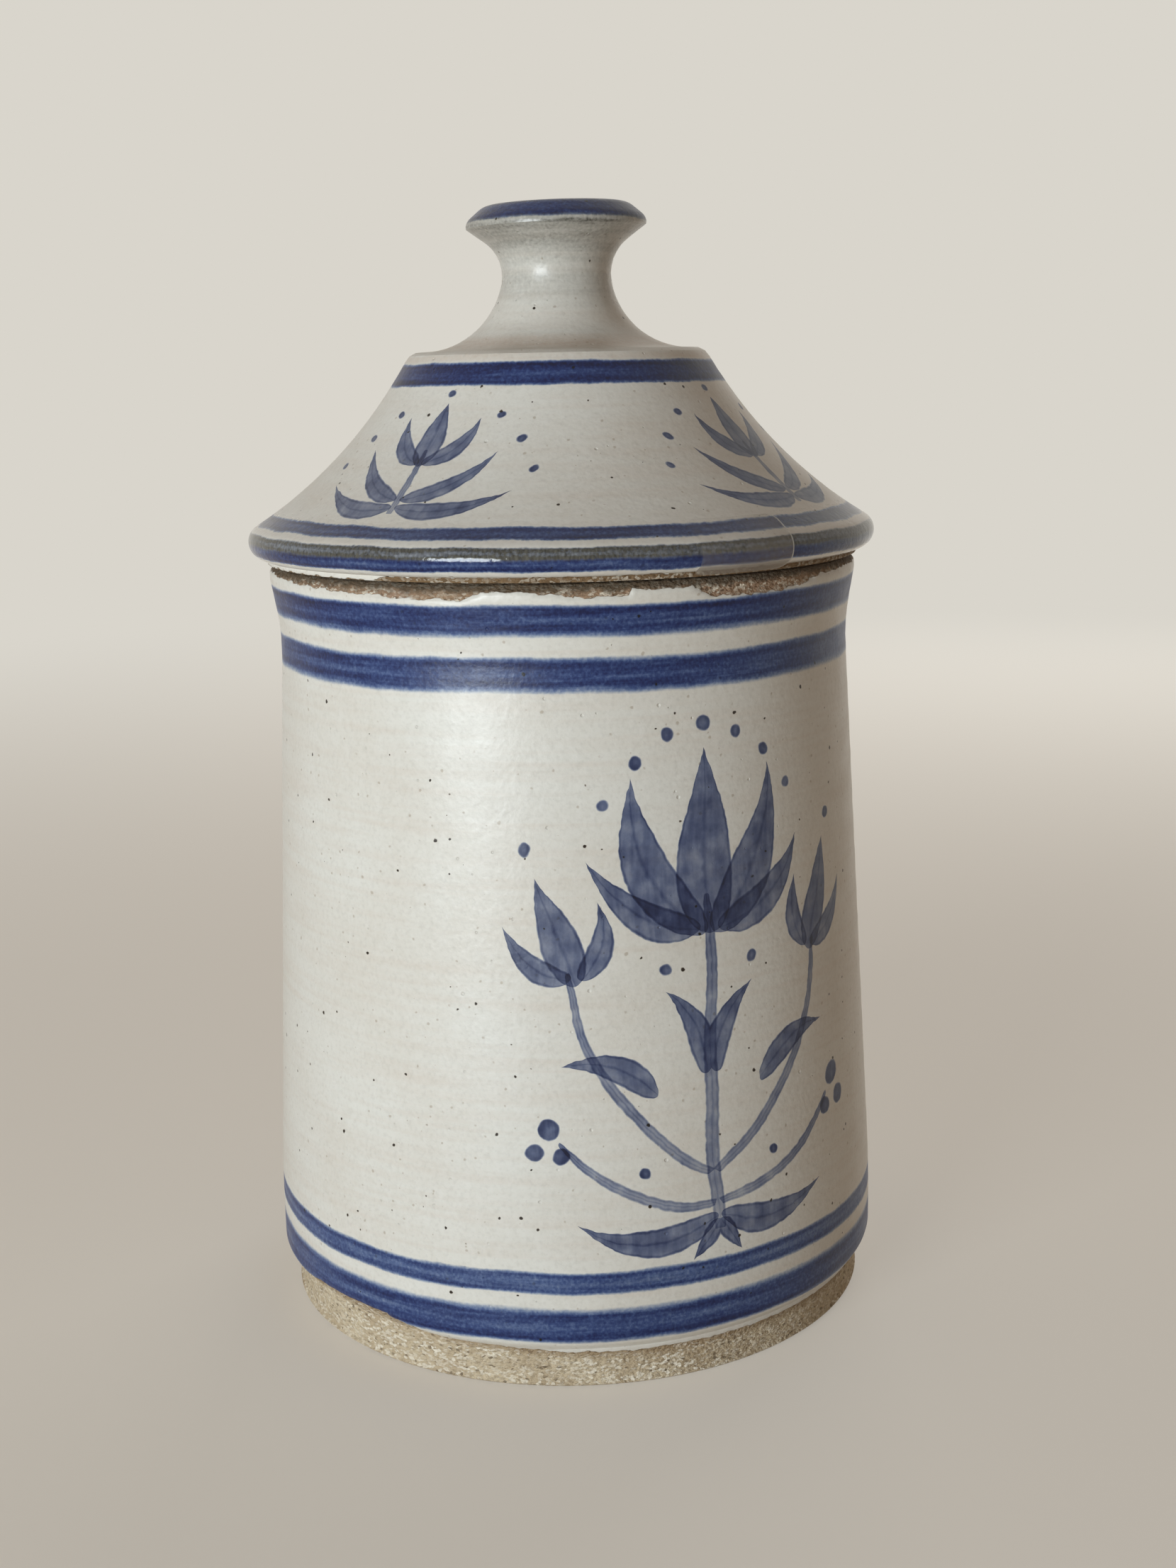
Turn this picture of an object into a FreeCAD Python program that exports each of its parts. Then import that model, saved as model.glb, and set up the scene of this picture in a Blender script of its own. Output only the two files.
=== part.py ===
import FreeCAD, Part
import math
import os

from FreeCAD import Vector

# Stoneware biscuit jar with a lift-off lid, in millimetres.
# The jar stands on Z = 0 with its axis on Z, and -Y is the side that faces the viewer.
# Outlines are half sections of (radius, height) points, turned about the axis as thrown clay is.

# Jar wall, measured on the outside
JAR_HEIGHT = 165.0
WAIST_RADIUS = 61.8
WAIST_BELOW_RIM = 15.0
WAIST_ROUNDING = 60.0
BELLY_BEYOND_WAIST = 6.1
BELLY_HEIGHT = 26.0
BELLY_ROUNDING = 260.0
LIP_BEYOND_WAIST = 1.9
LIP_HEIGHT = 3.5
LIP_ROUNDING = 1.3
MOUTH_ROUNDING = 1.6

# Bare clay foot
FOOT_HEIGHT = 9.0
FOOT_SET_IN = 2.2
FOOT_TAPER = 0.5
FOOT_EDGE_ROUNDING = 1.6
GLAZE_ROLL_ROUNDING = 2.6
FOOT_RING_WIDTH = 10.0
FOOT_RECESS = 2.0
RECESS_ROUNDING = 1.2

# Thickness of the jar
WALL = 5.8
NECK_WALL = 4.7
FLOOR = 7.0
FLOOR_CORNER_ROUNDING = 14.0

# Outside of the lid, with heights measured up from its seat on the jar's rim
EDGE_BEYOND_LIP = 0.5
EDGE_BAND = 1.1
EDGE_ROUNDING = 0.4
BEAD_BEYOND_LIP = 4.2
BEAD_ROUNDING = 3.5
CONE_HOLLOW_ROUNDING = 100.0
SHOULDER_RADIUS = 33.1
SHOULDER_HEIGHT = 43.6
SHOULDER_ROUNDING = 3.4
NECK_RADIUS = 11.7
NECK_SWEEP_ROUNDING = 17.3
NECK_TURN_DEG = 10.0

# Knob and the cup in its top
KNOB_RADIUS = 19.4
KNOB_SWEEP_ROUNDING = 9.0
KNOB_UNDER_SLOPE_DEG = 36.0
KNOB_SIDE = 1.5
KNOB_SIDE_LEAN = 0.45
KNOB_BEVEL_WIDTH = 3.6
KNOB_BEVEL_HEIGHT = 3.0
KNOB_RIM_ROUNDING = 0.4
KNOB_BEVEL_ROUNDING = 4.0
CUP_RADIUS = 11.6
CUP_LIP_ROUNDING = 1.6
CUP_FLOOR_RADIUS = 6.0
CUP_FLOOR_ROUNDING = 7.0
CUP_DEPTH = 9.0

# Inside of the lid, and the flange that drops into the jar's mouth
LID_WALL = 5.2
ROOF = 6.5
ROOF_CORNER_ROUNDING = 8.0
THROAT_ROUNDING = 12.0
FLANGE_CLEARANCE = 1.3
FLANGE_DEPTH = 10.0
FLANGE_WALL = 4.6
FLANGE_ROUNDING = 1.4
FLANGE_ROOT_ROUNDING = 0.8

# Strip of clear tape pressed over the lid's bead
TAPE_WIDTH = 22.0
TAPE_THICKNESS = 0.1
TAPE_ADHESIVE = 0.2
TAPE_UP_THE_CONE = 4.8
TAPE_UNDER_BEAD_DEG = 72.0
TAPE_BEARING_DEG = 32.2

# Radii and heights that follow from the sizes above
belly_radius = WAIST_RADIUS + BELLY_BEYOND_WAIST
waist_height = JAR_HEIGHT - WAIST_BELOW_RIM
lip_radius = WAIST_RADIUS + LIP_BEYOND_WAIST
mouth_radius = WAIST_RADIUS - NECK_WALL
foot_top_radius = belly_radius - FOOT_SET_IN
foot_radius = foot_top_radius - FOOT_TAPER
floor_height = FOOT_RECESS + FLOOR
seat_height = JAR_HEIGHT
edge_radius = lip_radius + EDGE_BEYOND_LIP
flange_radius = mouth_radius - FLANGE_CLEARANCE

ORIGIN = Vector(0, 0, 0)
UP = Vector(0, 0, 1)
FULL_TURN = 360.0
HALF_TURN = 180.0
QUARTER_TURN = 90.0
FILLET_SHARE = 0.48


def line(start, end):
    """A straight edge between two (radius, height) points of a half section."""
    return Part.LineSegment(Vector(start[0], 0, start[1]), Vector(end[0], 0, end[1])).toShape()


def curve(start, middle, end):
    """An arc through three (radius, height) points."""
    points = [Vector(radius, 0, height) for radius, height in (start, middle, end)]
    return Part.Arc(*points).toShape()


def on_circle(centre, rounding, degrees):
    """The point at that angle on a circle of the half section, with 0 away from the axis."""
    turn = math.radians(degrees)
    return (centre[0] + rounding * math.cos(turn), centre[1] + rounding * math.sin(turn))


def angle_to(centre, point):
    return math.degrees(math.atan2(point[1] - centre[1], point[0] - centre[0]))


def arc(centre, rounding, start, end):
    """The arc of a circle between two angles, the shorter way round."""
    turn = (end - start + HALF_TURN) % FULL_TURN - HALF_TURN
    return curve(*[on_circle(centre, rounding, start + turn * share) for share in (0, 0.5, 1)])


def touching(first, first_reach, second, second_reach):
    """The centre at those reaches from two others, on the right going from first to second."""
    along = (second[0] - first[0], second[1] - first[1])
    apart = math.hypot(*along)
    forward = (apart**2 + first_reach**2 - second_reach**2) / (2 * apart)
    aside = math.sqrt(first_reach**2 - forward**2)
    return (
        first[0] + (along[0] * forward + along[1] * aside) / apart,
        first[1] + (along[1] * forward - along[0] * aside) / apart,
    )


def step(start, end, length):
    """The point that length along the way from start to end."""
    share = length / math.dist(start, end)
    return (start[0] + (end[0] - start[0]) * share, start[1] + (end[1] - start[1]) * share)


def rounded(corners):
    """Edges through (radius, height, rounding) corners, with a tangent arc at each rounding.

    The first and last corners are plain points. A rounding is limited by the lines it joins.
    """
    edges = []
    last = corners[0][:2]
    for corner_before, corner, corner_after in zip(corners, corners[1:], corners[2:]):
        before, point, after = corner_before[:2], corner[:2], corner_after[:2]
        turn = math.radians(angle_to(point, after) - angle_to(before, point))
        half = abs(math.remainder(turn, math.tau)) / 2
        cut = min(
            corner[2] * math.tan(half),
            FILLET_SHARE * math.dist(before, point),
            FILLET_SHARE * math.dist(point, after),
        )
        if cut > 0:
            start = step(point, before, cut)
            end = step(point, after, cut)
            chord_middle = ((start[0] + end[0]) / 2, (start[1] + end[1]) / 2)
            sagitta = cut * (1 - math.cos(half)) / math.tan(half)
            edges.append(line(last, start))
            edges.append(curve(start, step(chord_middle, point, sagitta), end))
            last = end
        else:
            edges.append(line(last, point))
            last = point
    edges.append(line(last, corners[-1]))
    return edges


def turned(edges):
    """The solid that a closed half section makes when it is turned about the axis."""
    return Part.Face(Part.Wire(edges)).revolve(ORIGIN, UP, FULL_TURN)


def jar():
    """The thrown pot: foot ring, tapering wall, waist and flared lip, open at the top."""
    ring_radius = foot_radius - FOOT_RING_WIDTH
    inner_radius = belly_radius - WALL
    corners = [
        (0, FOOT_RECESS),
        (ring_radius, FOOT_RECESS, RECESS_ROUNDING),
        (ring_radius, 0, 0),
        (foot_radius, 0, FOOT_EDGE_ROUNDING),
        (foot_top_radius, FOOT_HEIGHT, 0),
        (belly_radius, FOOT_HEIGHT + FOOT_SET_IN, GLAZE_ROLL_ROUNDING),
        (belly_radius, BELLY_HEIGHT, BELLY_ROUNDING),
        (WAIST_RADIUS, waist_height, WAIST_ROUNDING),
        (lip_radius, JAR_HEIGHT - LIP_HEIGHT, LIP_HEIGHT),
        (lip_radius, JAR_HEIGHT, LIP_ROUNDING),
        (mouth_radius, JAR_HEIGHT, MOUTH_ROUNDING),
        (mouth_radius, waist_height, WAIST_ROUNDING),
        (inner_radius, BELLY_HEIGHT, BELLY_ROUNDING),
        (inner_radius, floor_height, FLOOR_CORNER_ROUNDING),
        (0, floor_height),
    ]
    return turned(rounded(corners) + [line(corners[-1], corners[0])])


# The lid's outside is a chain of arcs, each touching the next: bead, cone, shoulder, neck.
bead_centre = (
    lip_radius + BEAD_BEYOND_LIP - BEAD_ROUNDING,
    seat_height + EDGE_BAND + BEAD_ROUNDING,
)
shoulder_centre = (
    SHOULDER_RADIUS - SHOULDER_ROUNDING,
    seat_height + SHOULDER_HEIGHT - SHOULDER_ROUNDING,
)
cone_centre = touching(
    bead_centre,
    BEAD_ROUNDING + CONE_HOLLOW_ROUNDING,
    shoulder_centre,
    SHOULDER_ROUNDING + CONE_HOLLOW_ROUNDING,
)
# A wide sweep leads up from the shoulder, and a tighter one takes over from it just below the neck.
neck_reach = SHOULDER_ROUNDING + NECK_SWEEP_ROUNDING
neck_turn = math.radians(NECK_TURN_DEG)
sweeps_apart = NECK_SWEEP_ROUNDING - KNOB_SWEEP_ROUNDING
neck_side = NECK_RADIUS + KNOB_SWEEP_ROUNDING + sweeps_apart * math.cos(neck_turn)
neck_rise = math.sqrt(neck_reach**2 - (neck_side - shoulder_centre[0]) ** 2)
neck_centre = (neck_side, shoulder_centre[1] + neck_rise)
knob_sweep_centre = (NECK_RADIUS + KNOB_SWEEP_ROUNDING, neck_centre[1] - sweeps_apart * math.sin(neck_turn))
bead_end = angle_to(bead_centre, cone_centre)


def lid_outside():
    """Edges from the bare edge band under the bead, up over the cone, to just below the neck."""
    bead_start = math.degrees(math.asin((edge_radius - bead_centre[0]) / BEAD_ROUNDING)) - QUARTER_TURN
    shoulder_start = angle_to(shoulder_centre, cone_centre)
    shoulder_end = angle_to(shoulder_centre, neck_centre)
    return [
        arc(bead_centre, BEAD_ROUNDING, bead_start, bead_end),
        arc(cone_centre, CONE_HOLLOW_ROUNDING, bead_end + HALF_TURN, shoulder_start + HALF_TURN),
        arc(shoulder_centre, SHOULDER_ROUNDING, shoulder_start, shoulder_end),
        arc(neck_centre, NECK_SWEEP_ROUNDING, shoulder_end + HALF_TURN, HALF_TURN + NECK_TURN_DEG),
    ]


def knob():
    """Edges up the neck, out under the knob, over its bevelled rim and down into its cup."""
    under_angle = QUARTER_TURN + KNOB_UNDER_SLOPE_DEG
    under = on_circle(knob_sweep_centre, KNOB_SWEEP_ROUNDING, under_angle)
    rim_height = under[1] + (KNOB_RADIUS - under[0]) * math.tan(math.radians(KNOB_UNDER_SLOPE_DEG))
    side_radius = KNOB_RADIUS - KNOB_SIDE_LEAN
    side_top = rim_height + KNOB_SIDE
    top_height = side_top + KNOB_BEVEL_HEIGHT
    corners = [
        under,
        (KNOB_RADIUS, rim_height, KNOB_RIM_ROUNDING),
        (side_radius, side_top, KNOB_BEVEL_ROUNDING),
        (side_radius - KNOB_BEVEL_WIDTH, top_height, KNOB_BEVEL_ROUNDING),
        (CUP_RADIUS, top_height, CUP_LIP_ROUNDING),
        (CUP_FLOOR_RADIUS, top_height - CUP_DEPTH, CUP_FLOOR_ROUNDING),
        (0, top_height - CUP_DEPTH),
    ]
    sweep = arc(knob_sweep_centre, KNOB_SWEEP_ROUNDING, HALF_TURN + NECK_TURN_DEG, under_angle)
    return [sweep] + rounded(corners), corners[-1]


def lid_inside():
    """Edges from the middle of the lid's roof, down inside the cone, to the top of the flange."""
    roof_height = seat_height + SHOULDER_HEIGHT - ROOF
    throat_radius = flange_radius - FLANGE_WALL
    inner = CONE_HOLLOW_ROUNDING + LID_WALL

    corner_height = roof_height - ROOF_CORNER_ROUNDING
    corner_reach = inner + ROOF_CORNER_ROUNDING
    corner_in = math.sqrt(corner_reach**2 - (cone_centre[1] - corner_height) ** 2)
    corner_centre = (cone_centre[0] - corner_in, corner_height)
    corner_end = angle_to(corner_centre, cone_centre)

    throat_side = throat_radius - THROAT_ROUNDING
    throat_reach = inner + THROAT_ROUNDING
    throat_down = math.sqrt(throat_reach**2 - (cone_centre[0] - throat_side) ** 2)
    throat_centre = (throat_side, cone_centre[1] - throat_down)
    throat_start = angle_to(throat_centre, cone_centre)

    middle = (0, roof_height)
    edges = [
        line(middle, (corner_centre[0], roof_height)),
        arc(corner_centre, ROOF_CORNER_ROUNDING, QUARTER_TURN, corner_end),
        arc(cone_centre, inner, corner_end + HALF_TURN, throat_start + HALF_TURN),
        arc(throat_centre, THROAT_ROUNDING, throat_start, 0),
    ]
    return edges, middle, (throat_radius, throat_centre[1])


def lid():
    """The thrown lid: bead, hollow cone, shoulder, neck and cupped knob, with a flange below."""
    bead_low = bead_centre[1] - math.sqrt(BEAD_ROUNDING**2 - (edge_radius - bead_centre[0]) ** 2)
    flange_bottom = seat_height - FLANGE_DEPTH
    knob_edges, cup_middle = knob()
    inside_edges, roof_middle, throat = lid_inside()
    flange = rounded(
        [
            throat,
            (throat[0], flange_bottom, FLANGE_ROUNDING),
            (flange_radius, flange_bottom, FLANGE_ROUNDING),
            (flange_radius, seat_height, FLANGE_ROOT_ROUNDING),
            (edge_radius, seat_height, EDGE_ROUNDING),
            (edge_radius, bead_low),
        ]
    )
    axis = [line(cup_middle, roof_middle)]
    return turned(flange + lid_outside() + knob_edges + axis + inside_edges)


def tape():
    """The strip of tape, which follows the lid from the cone, over the bead, to its underside."""
    near = TAPE_ADHESIVE
    far = TAPE_ADHESIVE + TAPE_THICKNESS
    bead_start = -TAPE_UNDER_BEAD_DEG
    cone_start = bead_end + HALF_TURN
    cone_end = cone_start - math.degrees(TAPE_UP_THE_CONE / CONE_HOLLOW_ROUNDING)

    def ends(offset):
        return (
            on_circle(bead_centre, BEAD_ROUNDING + offset, bead_start),
            on_circle(cone_centre, CONE_HOLLOW_ROUNDING - offset, cone_end),
        )

    def along(offset):
        return [
            arc(bead_centre, BEAD_ROUNDING + offset, bead_start, bead_end),
            arc(cone_centre, CONE_HOLLOW_ROUNDING - offset, cone_start, cone_end),
        ]

    near_low, near_high = ends(near)
    far_low, far_high = ends(far)
    section = Part.Face(
        Part.Wire(along(near) + [line(near_high, far_high)] + along(far)[::-1] + [line(far_low, near_low)])
    )
    section.rotate(ORIGIN, UP, -QUARTER_TURN)
    ring = section.revolve(ORIGIN, UP, HALF_TURN)
    reach = 2 * edge_radius
    strip = Part.makeBox(reach, TAPE_WIDTH, 2 * reach, Vector(0, -TAPE_WIDTH / 2, 0))
    tape_solid = ring.common(strip).Solids[0]
    tape_solid.rotate(ORIGIN, UP, TAPE_BEARING_DEG - QUARTER_TURN)
    return tape_solid


def write(name, shape):
    """Writes one piece as its own STEP file."""
    shape.exportStep(os.path.join("parts", name + ".step"))
    box = shape.optimalBoundingBox(False)
    size = [round(side, 2) for side in (box.XLength, box.YLength, box.ZMin, box.ZMax)]
    solids = len(shape.Solids)
    print(name, "mm3", round(shape.Volume), "valid", shape.isValid(), "solids", solids, "box", size)


os.makedirs("parts", exist_ok=True)
write("jar", jar())
write("lid", lid())
write("clear_tape", tape())
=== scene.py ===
import math

import bpy
import numpy as np
from mathutils import Matrix, Vector


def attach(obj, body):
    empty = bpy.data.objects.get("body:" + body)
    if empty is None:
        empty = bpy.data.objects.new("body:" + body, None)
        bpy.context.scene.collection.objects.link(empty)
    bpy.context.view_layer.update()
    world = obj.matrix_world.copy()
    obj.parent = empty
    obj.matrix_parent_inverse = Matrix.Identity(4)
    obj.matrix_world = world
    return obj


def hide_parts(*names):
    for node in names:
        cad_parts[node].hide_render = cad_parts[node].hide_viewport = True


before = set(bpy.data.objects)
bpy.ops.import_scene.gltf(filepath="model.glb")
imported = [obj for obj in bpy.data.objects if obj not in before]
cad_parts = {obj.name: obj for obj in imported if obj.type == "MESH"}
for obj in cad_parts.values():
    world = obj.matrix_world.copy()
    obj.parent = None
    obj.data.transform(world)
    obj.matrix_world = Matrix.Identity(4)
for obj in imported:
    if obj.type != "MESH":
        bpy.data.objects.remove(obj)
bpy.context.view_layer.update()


# The jar: a pot thrown in grogged buff stoneware, dipped in cream glaze and banded with cobalt on the wheel.
# Its foot was wiped bare before the firing. The lid's seat has since knocked chips of glaze off the rim,
# and the clay shows there, rough and a little lower than the glaze.

MM = 0.001
TOUCH = 0.001
CORNER = math.radians(25)
PARTS_OF_A_CHORD = 8
JAR_STEPS = 576
JAR_RIM_ZONE = 148.0
JAR_FOOT_ZONE = 15.0
FINE_ROWS = 0.75
WALL_ROWS = 2.2
HIDDEN_ROWS = 6.0
GLAZE_THICKNESS = 0.45
GROG_SIZE = 1.3
GROG_RELIEF = 0.45
INSIDE_GLAZE_EDGE = 161.0
POT_WALL = 2.9
POT_FLOOR = 8.5
OUTSIDE_SKIN = ((0, 60), (9, 62.5), (150, 58.5))
OUTER_ROWS_FROM = 60
FOOT_EDGE = 0.8
FOOT_RING_INSIDE = 54
OUTER_RINGS = (3.1, 4.7, 7.9)
OUTER_RING_DEPTH = 0.10
INNER_RINGS = (9.0, 7.0, 13.0)
INNER_RING_DEPTH = 0.30
JAR_RING_CLIMB = 5.0
RINGS_FADE_IN = (14, 24)
RINGS_FADE_OUT = (163, 150)
GLAZE_BREAKS_OVER = (-0.25, 0.35)
CRUMBS_FROM = 0.2
GLAZE_EDGE_AT_RIM = (
    (-180, 163.1), (-166, 163.4), (-152, 161.6), (-139, 161.2), (-127, 163.0), (-104, 163.3), (-76, 163.6),
    (-57, 162.8), (-38, 162.3), (-18, 161.6), (-14, 163.4), (-7, 163.3), (0, 162.3), (8, 162.0),
    (11.3, 162.05), (11.8, 163.3), (23, 163.1), (27, 161.2), (34.5, 160.8), (44, 160.9), (52.5, 162.15),
    (54.4, 162.8), (70, 163.2), (96, 163.3), (101, 161.9), (118, 161.3), (124, 162.9), (150, 163.3),
    (180, 163.1),
)
GLAZE_EDGE_AT_FOOT = (
    (-180, 9.2), (-150, 8.4), (-120, 9.6), (-90, 11.0), (-65, 11.4), (-53, 12.5), (-42, 12.7), (-36, 12.1),
    (-26, 9.5), (-15, 9.2), (-2, 8.3), (10, 7.9), (27, 7.7), (53, 7.8), (90, 8.3), (130, 8.9), (180, 9.2),
)


def pick(piece):
    """Leaves only that piece selected."""
    bpy.ops.object.select_all(action="DESELECT")
    piece.select_set(True)
    bpy.context.view_layer.objects.active = piece


def traced(node):
    """The half section of a turned solid as (radius, height) points in mm, from end to end on the axis.

    The solid's seam lies on the half plane y = 0, x > 0. Its flat rings and discs have no edge there,
    so their ends are joined along the same height.
    """
    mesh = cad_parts[node].data
    spots = {}
    for vertex in mesh.vertices:
        x, y, z = vertex.co / MM
        if abs(y) < TOUCH and x > TOUCH:
            spots[vertex.index] = (round(x, 3), round(z, 3))
    linked = {spot: set() for spot in spots.values()}
    for edge in mesh.edges:
        first, second = (spots.get(index) for index in edge.vertices)
        if first and second and first != second:
            linked[first].add(second)
            linked[second].add(first)
    loose = [spot for spot in linked if len(linked[spot]) == 1]
    for first in loose:
        linked[first].update(second for second in loose if second != first and second[1] == first[1])
    ends = sorted((spot for spot in linked if len(linked[spot]) == 1), key=lambda spot: spot[1])
    line = [ends[0]]
    onward = linked[ends[0]]
    while onward:
        line.append(onward.pop())
        linked[line[-1]].discard(line[-2])
        onward = linked[line[-1]]
    return np.array([(0, line[0][1]), *line, (0, line[-1][1])])


def rows_along(line, spacing):
    """Points spacing(radius, height) mm apart along smooth curves through the line's points."""
    chords = np.diff(line, axis=0)
    lengths = np.hypot(*chords.T)
    ways = chords / lengths[:, None]
    turns = np.arccos(np.clip((ways[1:] * ways[:-1]).sum(1), -1, 1))
    sharp = turns > CORNER
    tangent = chords[1:] + chords[:-1]
    tangent /= np.hypot(*tangent.T)[:, None]
    leaving = np.vstack([ways[:1], np.where(sharp[:, None], ways[1:], tangent)])
    arriving = np.vstack([np.where(sharp[:, None], ways[:-1], tangent), ways[-1:]])
    s = np.arange(PARTS_OF_A_CHORD)[None, :, None] / PARTS_OF_A_CHORD
    start, end = line[:-1, None], line[1:, None]
    reach = lengths[:, None, None]
    fine = (
        start * (2 * s**3 - 3 * s**2 + 1)
        + end * (3 * s**2 - 2 * s**3)
        + reach * leaving[:, None] * (s**3 - 2 * s**2 + s)
        + reach * arriving[:, None] * (s**3 - s**2)
    )
    fine = np.vstack([fine.reshape(-1, 2), line[-1:]])
    middles = (fine[1:] + fine[:-1]) / 2
    pace = np.hypot(*np.diff(fine, axis=0).T) / spacing(*middles.T)
    count = np.concatenate([[0], np.cumsum(pace)])
    stops = [0, *((np.flatnonzero(sharp) + 1) * PARTS_OF_A_CHORD), len(fine) - 1]
    marks = [0.0]
    for first, last in zip(stops, stops[1:]):
        steps = max(1, round(count[last] - count[first]))
        marks += list(np.linspace(count[first], count[last], steps + 1)[1:])
    rows = np.column_stack([np.interp(marks, count, fine[:, side]) for side in (0, 1)])
    return np.clip(rows, line.min(0), line.max(0))


def thrown(name, rows, steps):
    """A turned piece: a vertex is extruded along its half section, which is turned once round."""
    bpy.ops.object.select_all(action="DESELECT")
    bpy.ops.mesh.primitive_plane_add(size=MM)
    piece = bpy.context.object
    piece.name = name
    bpy.ops.object.mode_set(mode="EDIT")
    bpy.ops.mesh.merge(type="CENTER")
    bpy.ops.transform.translate(value=(rows[0][0] * MM, 0, rows[0][1] * MM))
    for radius, height in np.diff(rows, axis=0) * MM:
        bpy.ops.mesh.extrude_vertices_move(TRANSFORM_OT_translate={"value": (radius, 0, height)})
    bpy.ops.object.mode_set(mode="OBJECT")
    turning = piece.modifiers.new("turning", "SCREW")
    turning.axis = "Z"
    turning.steps = turning.render_steps = steps
    turning.use_merge_vertices = True
    turning.merge_threshold = TOUCH * MM
    bpy.ops.object.modifier_apply(modifier=turning.name)
    bpy.ops.object.mode_set(mode="EDIT")
    bpy.ops.mesh.select_all(action="SELECT")
    bpy.ops.mesh.remove_doubles(threshold=TOUCH * MM)
    bpy.ops.mesh.normals_make_consistent(inside=False)
    bpy.ops.object.mode_set(mode="OBJECT")
    bpy.ops.object.shade_smooth_by_angle(angle=CORNER)
    return piece


def places(piece):
    """Radius, height and bearing of each vertex, in mm and degrees. Bearing 0 is the front, 90 is +X."""
    spots = np.empty(len(piece.data.vertices) * 3)
    piece.data.vertices.foreach_get("co", spots)
    x, y, z = spots.reshape(-1, 3).T / MM
    return np.hypot(x, y), z, np.degrees(np.arctan2(x, -y))


def reshape(piece, radius, height, bearing, aside=0.0):
    """Moves each vertex to that radius, height and bearing, and then aside along X."""
    turn = np.radians(bearing)
    spots = np.column_stack([radius * np.sin(turn) + aside, -radius * np.cos(turn), height]) * MM
    piece.data.vertices.foreach_set("co", spots.ravel())
    piece.data.update()


def eased(value, low, high):
    """0 up to low, 1 beyond high and a smooth step between. Where high is the lower, it falls instead."""
    share = np.clip((value - low) / (high - low), 0, 1)
    return share * share * (3 - 2 * share)


def waves(value, pitches):
    """Sine waves of those pitches added up, scaled into the range from 0 to 1."""
    total = sum(np.sin(math.tau * value / pitch + pitch) for pitch in pitches)
    return (total / len(pitches) + 1) / 2


def jar_spacing(radius, height):
    outside = radius > np.interp(height, *zip(*OUTSIDE_SKIN))
    rough = (height > JAR_RIM_ZONE) | (height < JAR_FOOT_ZONE)
    return np.where(outside, np.where(rough, FINE_ROWS, WALL_ROWS), HIDDEN_ROWS)


jar_rows = rows_along(traced("jar"), jar_spacing)
jar = thrown("glazed_jar", jar_rows, JAR_STEPS)
radius, height, bearing = places(jar)
lip_row = int(np.argmax(jar_rows[:, 1] > jar_rows[:, 1].max() - TOUCH))
outer_rows = jar_rows[:lip_row + 1]
outer_rows = outer_rows[outer_rows[:, 0] > OUTER_ROWS_FROM]
outer_radius = np.interp(height, outer_rows[:, 1], outer_rows[:, 0])
inside = (radius < outer_radius - POT_WALL) & (height > POT_FLOOR)
rim_edge = np.interp(bearing, *np.array(GLAZE_EDGE_AT_RIM).T)
foot_edge = np.interp(bearing, *np.array(GLAZE_EDGE_AT_FOOT).T)
bare = np.where(inside, height - INSIDE_GLAZE_EDGE, np.maximum(height - rim_edge, foot_edge - height))

spiral = height + bearing / 360 * JAR_RING_CLIMB
inner_rings = INNER_RING_DEPTH * waves(spiral, INNER_RINGS)
outer_rings = OUTER_RING_DEPTH * waves(spiral, OUTER_RINGS)
ring_depth = np.where(inside, inner_rings, outer_rings)
ring_depth *= eased(height, *RINGS_FADE_IN) * eased(height, *RINGS_FADE_OUT)
upright = (height > FOOT_EDGE) & (radius > FOOT_RING_INSIDE) & ~inside
broken = np.where(upright, eased(bare, *GLAZE_BREAKS_OVER) * GLAZE_THICKNESS, 0)
reshape(jar, radius + np.where(inside, 1, -1) * ring_depth - broken, height, bearing)

crumbled = jar.vertex_groups.new(name="bare_clay")
crumbled.add(np.flatnonzero(upright & (bare > CRUMBS_FROM)).tolist(), 1.0, "REPLACE")
grog = bpy.data.textures.new("grog", "CLOUDS")
grog.noise_scale = GROG_SIZE * MM
grog.noise_depth = 1
crumbs = jar.modifiers.new("crumbs", "DISPLACE")
crumbs.texture = grog
crumbs.vertex_group = crumbled.name
crumbs.mid_level = 1.0
crumbs.strength = GROG_RELIEF * MM
pick(jar)
bpy.ops.object.modifier_apply(modifier=crumbs.name)


def colour(code, alpha=1.0):
    """The linear colour of an sRGB hex code."""
    channels = [int(code[at:at + 2], 16) / 255 for at in (1, 3, 5)]
    return [c / 12.92 if c <= 0.04045 else ((c + 0.055) / 1.055) ** 2.4 for c in channels] + [alpha]


def add(tree, kind, inputs=(), output=0, stops=(), **settings):
    """Adds a node with its settings and colour stops, sets or links its inputs and returns an output."""
    node = tree.nodes.new("ShaderNode" + kind)
    for name, value in settings.items():
        setattr(node, name, value)
    for at, (position, shade) in enumerate(stops):
        element = node.color_ramp.elements[at] if at < 2 else node.color_ramp.elements.new(position)
        element.position = position
        element.color = shade
    for key, value in dict(inputs).items():
        if isinstance(value, bpy.types.NodeSocket):
            tree.links.new(value, node.inputs[key])
        else:
            node.inputs[key].default_value = value
    return node.outputs[output]


def patches(tree, place, size, start=0.0, end=1.0, spread=0.2, stretch=(1, 1, 1), detail=2.0):
    """Uneven patches about size mm wide, drawn out along the axes by stretch, that run from start to end."""
    steps = [1 / (size * side) for side in stretch]
    scaled = add(tree, "VectorMath", {0: place, 1: steps}, operation="MULTIPLY")
    cloud = add(tree, "TexNoise", {"Vector": scaled, "Scale": 1.0, "Detail": detail})
    return add(tree, "MapRange", {0: cloud, 1: 0.5 - spread, 2: 0.5 + spread, 3: start, 4: end})


MOSTLY_SMALL = 1.6


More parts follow.
